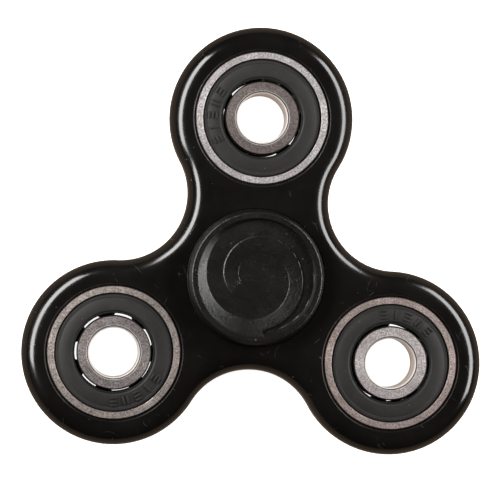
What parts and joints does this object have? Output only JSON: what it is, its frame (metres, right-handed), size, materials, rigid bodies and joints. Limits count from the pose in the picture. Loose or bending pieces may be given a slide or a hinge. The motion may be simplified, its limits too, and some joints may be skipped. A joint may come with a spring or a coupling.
{
  "type": "fidget spinner",
  "caption": "Three-lobed finger spinner: a glossy body turns on a central ball bearing between two swirl-faced finger caps, with a ball bearing as the weight in each lobe.",
  "frame": {"origin": "on the spin axis at mid thickness, the centre of the central bearing", "axes": "+Z along the spin axis out of the top cap, +Y towards the first lobe, +X completes the right-handed set; the other two lobes are at 210 and 330 degrees"},
  "size_m": [0.075, 0.069, 0.013],
  "materials": {
    "body_plastic": "moulded gloss black",
    "cap_plastic": "fine satin grain",
    "ring_steel": "ground faces, polished chamfers",
    "seal_rubber": "moulded, slightly dusty",
    "cage_steel": "pressed sheet",
    "rivet_steel": "plain",
    "ball_steel": "polished"
  },
  "bodies": {
    "hub": {"top_cap": "cap_plastic", "bottom_cap": "cap_plastic", "center_inner_ring": "ring_steel"},
    "frame": {"body": "body_plastic", "center_outer_ring": "ring_steel", "center_upper_seal": "seal_rubber", "center_lower_seal": "seal_rubber", "lobe1_outer_ring": "ring_steel", "lobe1_upper_seal": "seal_rubber", "lobe1_lower_seal": "seal_rubber", "lobe2_outer_ring": "ring_steel", "lobe2_upper_seal": "seal_rubber", "lobe2_lower_seal": "seal_rubber", "lobe3_outer_ring": "ring_steel", "lobe3_upper_seal": "seal_rubber", "lobe3_lower_seal": "seal_rubber"},
    "center_cage": {"center_upper_cage": "cage_steel", "center_lower_cage": "cage_steel", "center_cage_rivets": "rivet_steel"},
    "center_ball_1": {"center_ball_1": "ball_steel"},
    "center_ball_2": {"center_ball_2": "ball_steel"},
    "center_ball_3": {"center_ball_3": "ball_steel"},
    "center_ball_4": {"center_ball_4": "ball_steel"},
    "center_ball_5": {"center_ball_5": "ball_steel"},
    "center_ball_6": {"center_ball_6": "ball_steel"},
    "center_ball_7": {"center_ball_7": "ball_steel"},
    "lobe1_hub": {"lobe1_inner_ring": "ring_steel"},
    "lobe1_cage": {"lobe1_upper_cage": "cage_steel", "lobe1_lower_cage": "cage_steel", "lobe1_cage_rivets": "rivet_steel"},
    "lobe1_ball_1": {"lobe1_ball_1": "ball_steel"},
    "lobe1_ball_2": {"lobe1_ball_2": "ball_steel"},
    "lobe1_ball_3": {"lobe1_ball_3": "ball_steel"},
    "lobe1_ball_4": {"lobe1_ball_4": "ball_steel"},
    "lobe1_ball_5": {"lobe1_ball_5": "ball_steel"},
    "lobe1_ball_6": {"lobe1_ball_6": "ball_steel"},
    "lobe1_ball_7": {"lobe1_ball_7": "ball_steel"},
    "lobe2_hub": {"lobe2_inner_ring": "ring_steel"},
    "lobe2_cage": {"lobe2_upper_cage": "cage_steel", "lobe2_lower_cage": "cage_steel", "lobe2_cage_rivets": "rivet_steel"},
    "lobe2_ball_1": {"lobe2_ball_1": "ball_steel"},
    "lobe2_ball_2": {"lobe2_ball_2": "ball_steel"},
    "lobe2_ball_3": {"lobe2_ball_3": "ball_steel"},
    "lobe2_ball_4": {"lobe2_ball_4": "ball_steel"},
    "lobe2_ball_5": {"lobe2_ball_5": "ball_steel"},
    "lobe2_ball_6": {"lobe2_ball_6": "ball_steel"},
    "lobe2_ball_7": {"lobe2_ball_7": "ball_steel"},
    "lobe3_hub": {"lobe3_inner_ring": "ring_steel"},
    "lobe3_cage": {"lobe3_upper_cage": "cage_steel", "lobe3_lower_cage": "cage_steel", "lobe3_cage_rivets": "rivet_steel"},
    "lobe3_ball_1": {"lobe3_ball_1": "ball_steel"},
    "lobe3_ball_2": {"lobe3_ball_2": "ball_steel"},
    "lobe3_ball_3": {"lobe3_ball_3": "ball_steel"},
    "lobe3_ball_4": {"lobe3_ball_4": "ball_steel"},
    "lobe3_ball_5": {"lobe3_ball_5": "ball_steel"},
    "lobe3_ball_6": {"lobe3_ball_6": "ball_steel"},
    "lobe3_ball_7": {"lobe3_ball_7": "ball_steel"}
  },
  "joints": [
    {"name": "frame_spin", "type": "hinge", "parent": "hub", "child": "frame", "pos_m": [0, 0, 0], "axis": [0, 0, 1], "continuous": true},
    {"name": "center_cage_spin", "type": "hinge", "parent": "hub", "child": "center_cage", "pos_m": [0, 0, 0], "axis": [0, 0, 1], "continuous": true},
    {"name": "center_ball_1_roll", "type": "hinge", "parent": "center_cage", "child": "center_ball_1", "pos_m": [0.0075, 0, 0], "axis": [0, 0, 1], "continuous": true},
    {"name": "center_ball_2_roll", "type": "hinge", "parent": "center_cage", "child": "center_ball_2", "pos_m": [0.00468, 0.00586, 0], "axis": [0, 0, 1], "continuous": true},
    {"name": "center_ball_3_roll", "type": "hinge", "parent": "center_cage", "child": "center_ball_3", "pos_m": [-0.00167, 0.00731, 0], "axis": [0, 0, 1], "continuous": true},
    {"name": "center_ball_4_roll", "type": "hinge", "parent": "center_cage", "child": "center_ball_4", "pos_m": [-0.00676, 0.00325, 0], "axis": [0, 0, 1], "continuous": true},
    {"name": "center_ball_5_roll", "type": "hinge", "parent": "center_cage", "child": "center_ball_5", "pos_m": [-0.00676, -0.00325, 0], "axis": [0, 0, 1], "continuous": true},
    {"name": "center_ball_6_roll", "type": "hinge", "parent": "center_cage", "child": "center_ball_6", "pos_m": [-0.00167, -0.00731, 0], "axis": [0, 0, 1], "continuous": true},
    {"name": "center_ball_7_roll", "type": "hinge", "parent": "center_cage", "child": "center_ball_7", "pos_m": [0.00468, -0.00586, 0], "axis": [0, 0, 1], "continuous": true},
    {"name": "lobe1_spin", "type": "hinge", "parent": "frame", "child": "lobe1_hub", "pos_m": [0, 0.026, 0], "axis": [0, 0, 1], "continuous": true},
    {"name": "lobe1_cage_spin", "type": "hinge", "parent": "frame", "child": "lobe1_cage", "pos_m": [0, 0.026, 0], "axis": [0, 0, 1], "continuous": true},
    {"name": "lobe1_ball_1_roll", "type": "hinge", "parent": "lobe1_cage", "child": "lobe1_ball_1", "pos_m": [0.0075, 0.026, 0], "axis": [0, 0, 1], "continuous": true},
    {"name": "lobe1_ball_2_roll", "type": "hinge", "parent": "lobe1_cage", "child": "lobe1_ball_2", "pos_m": [0.00468, 0.03186, 0], "axis": [0, 0, 1], "continuous": true},
    {"name": "lobe1_ball_3_roll", "type": "hinge", "parent": "lobe1_cage", "child": "lobe1_ball_3", "pos_m": [-0.00167, 0.03331, 0], "axis": [0, 0, 1], "continuous": true},
    {"name": "lobe1_ball_4_roll", "type": "hinge", "parent": "lobe1_cage", "child": "lobe1_ball_4", "pos_m": [-0.00676, 0.02925, 0], "axis": [0, 0, 1], "continuous": true},
    {"name": "lobe1_ball_5_roll", "type": "hinge", "parent": "lobe1_cage", "child": "lobe1_ball_5", "pos_m": [-0.00676, 0.02275, 0], "axis": [0, 0, 1], "continuous": true},
    {"name": "lobe1_ball_6_roll", "type": "hinge", "parent": "lobe1_cage", "child": "lobe1_ball_6", "pos_m": [-0.00167, 0.01869, 0], "axis": [0, 0, 1], "continuous": true},
    {"name": "lobe1_ball_7_roll", "type": "hinge", "parent": "lobe1_cage", "child": "lobe1_ball_7", "pos_m": [0.00468, 0.02014, 0], "axis": [0, 0, 1], "continuous": true},
    {"name": "lobe2_spin", "type": "hinge", "parent": "frame", "child": "lobe2_hub", "pos_m": [-0.02252, -0.013, 0], "axis": [0, 0, 1], "continuous": true},
    {"name": "lobe2_cage_spin", "type": "hinge", "parent": "frame", "child": "lobe2_cage", "pos_m": [-0.02252, -0.013, 0], "axis": [0, 0, 1], "continuous": true},
    {"name": "lobe2_ball_1_roll", "type": "hinge", "parent": "lobe2_cage", "child": "lobe2_ball_1", "pos_m": [-0.01502, -0.013, 0], "axis": [0, 0, 1], "continuous": true},
    {"name": "lobe2_ball_2_roll", "type": "hinge", "parent": "lobe2_cage", "child": "lobe2_ball_2", "pos_m": [-0.01784, -0.00714, 0], "axis": [0, 0, 1], "continuous": true},
    {"name": "lobe2_ball_3_roll", "type": "hinge", "parent": "lobe2_cage", "child": "lobe2_ball_3", "pos_m": [-0.02419, -0.00569, 0], "axis": [0, 0, 1], "continuous": true},
    {"name": "lobe2_ball_4_roll", "type": "hinge", "parent": "lobe2_cage", "child": "lobe2_ball_4", "pos_m": [-0.02927, -0.00975, 0], "axis": [0, 0, 1], "continuous": true},
    {"name": "lobe2_ball_5_roll", "type": "hinge", "parent": "lobe2_cage", "child": "lobe2_ball_5", "pos_m": [-0.02927, -0.01625, 0], "axis": [0, 0, 1], "continuous": true},
    {"name": "lobe2_ball_6_roll", "type": "hinge", "parent": "lobe2_cage", "child": "lobe2_ball_6", "pos_m": [-0.02419, -0.02031, 0], "axis": [0, 0, 1], "continuous": true},
    {"name": "lobe2_ball_7_roll", "type": "hinge", "parent": "lobe2_cage", "child": "lobe2_ball_7", "pos_m": [-0.01784, -0.01886, 0], "axis": [0, 0, 1], "continuous": true},
    {"name": "lobe3_spin", "type": "hinge", "parent": "frame", "child": "lobe3_hub", "pos_m": [0.02252, -0.013, 0], "axis": [0, 0, 1], "continuous": true},
    {"name": "lobe3_cage_spin", "type": "hinge", "parent": "frame", "child": "lobe3_cage", "pos_m": [0.02252, -0.013, 0], "axis": [0, 0, 1], "continuous": true},
    {"name": "lobe3_ball_1_roll", "type": "hinge", "parent": "lobe3_cage", "child": "lobe3_ball_1", "pos_m": [0.03002, -0.013, 0], "axis": [0, 0, 1], "continuous": true},
    {"name": "lobe3_ball_2_roll", "type": "hinge", "parent": "lobe3_cage", "child": "lobe3_ball_2", "pos_m": [0.02719, -0.00714, 0], "axis": [0, 0, 1], "continuous": true},
    {"name": "lobe3_ball_3_roll", "type": "hinge", "parent": "lobe3_cage", "child": "lobe3_ball_3", "pos_m": [0.02085, -0.00569, 0], "axis": [0, 0, 1], "continuous": true},
    {"name": "lobe3_ball_4_roll", "type": "hinge", "parent": "lobe3_cage", "child": "lobe3_ball_4", "pos_m": [0.01576, -0.00975, 0], "axis": [0, 0, 1], "continuous": true},
    {"name": "lobe3_ball_5_roll", "type": "hinge", "parent": "lobe3_cage", "child": "lobe3_ball_5", "pos_m": [0.01576, -0.01625, 0], "axis": [0, 0, 1], "continuous": true},
    {"name": "lobe3_ball_6_roll", "type": "hinge", "parent": "lobe3_cage", "child": "lobe3_ball_6", "pos_m": [0.02085, -0.02031, 0], "axis": [0, 0, 1], "continuous": true},
    {"name": "lobe3_ball_7_roll", "type": "hinge", "parent": "lobe3_cage", "child": "lobe3_ball_7", "pos_m": [0.02719, -0.01886, 0], "axis": [0, 0, 1], "continuous": true}
  ],
  "couplings": [
    {"joint": "center_cage_spin", "follows": "frame_spin", "ratio": 0.63233},
    {"joint": "center_ball_1_roll", "follows": "frame_spin", "ratio": 1.7568},
    {"joint": "center_ball_2_roll", "follows": "frame_spin", "ratio": 1.7568},
    {"joint": "center_ball_3_roll", "follows": "frame_spin", "ratio": 1.7568},
    {"joint": "center_ball_4_roll", "follows": "frame_spin", "ratio": 1.7568},
    {"joint": "center_ball_5_roll", "follows": "frame_spin", "ratio": 1.7568},
    {"joint": "center_ball_6_roll", "follows": "frame_spin", "ratio": 1.7568},
    {"joint": "center_ball_7_roll", "follows": "frame_spin", "ratio": 1.7568},
    {"joint": "lobe1_cage_spin", "follows": "lobe1_spin", "ratio": 0.36767},
    {"joint": "lobe1_ball_1_roll", "follows": "lobe1_spin", "ratio": -1.7568},
    {"joint": "lobe1_ball_2_roll", "follows": "lobe1_spin", "ratio": -1.7568},
    {"joint": "lobe1_ball_3_roll", "follows": "lobe1_spin", "ratio": -1.7568},
    {"joint": "lobe1_ball_4_roll", "follows": "lobe1_spin", "ratio": -1.7568},
    {"joint": "lobe1_ball_5_roll", "follows": "lobe1_spin", "ratio": -1.7568},
    {"joint": "lobe1_ball_6_roll", "follows": "lobe1_spin", "ratio": -1.7568},
    {"joint": "lobe1_ball_7_roll", "follows": "lobe1_spin", "ratio": -1.7568},
    {"joint": "lobe2_cage_spin", "follows": "lobe2_spin", "ratio": 0.36767},
    {"joint": "lobe2_ball_1_roll", "follows": "lobe2_spin", "ratio": -1.7568},
    {"joint": "lobe2_ball_2_roll", "follows": "lobe2_spin", "ratio": -1.7568},
    {"joint": "lobe2_ball_3_roll", "follows": "lobe2_spin", "ratio": -1.7568},
    {"joint": "lobe2_ball_4_roll", "follows": "lobe2_spin", "ratio": -1.7568},
    {"joint": "lobe2_ball_5_roll", "follows": "lobe2_spin", "ratio": -1.7568},
    {"joint": "lobe2_ball_6_roll", "follows": "lobe2_spin", "ratio": -1.7568},
    {"joint": "lobe2_ball_7_roll", "follows": "lobe2_spin", "ratio": -1.7568},
    {"joint": "lobe3_cage_spin", "follows": "lobe3_spin", "ratio": 0.36767},
    {"joint": "lobe3_ball_1_roll", "follows": "lobe3_spin", "ratio": -1.7568},
    {"joint": "lobe3_ball_2_roll", "follows": "lobe3_spin", "ratio": -1.7568},
    {"joint": "lobe3_ball_3_roll", "follows": "lobe3_spin", "ratio": -1.7568},
    {"joint": "lobe3_ball_4_roll", "follows": "lobe3_spin", "ratio": -1.7568},
    {"joint": "lobe3_ball_5_roll", "follows": "lobe3_spin", "ratio": -1.7568},
    {"joint": "lobe3_ball_6_roll", "follows": "lobe3_spin", "ratio": -1.7568},
    {"joint": "lobe3_ball_7_roll", "follows": "lobe3_spin", "ratio": -1.7568}
  ]
}
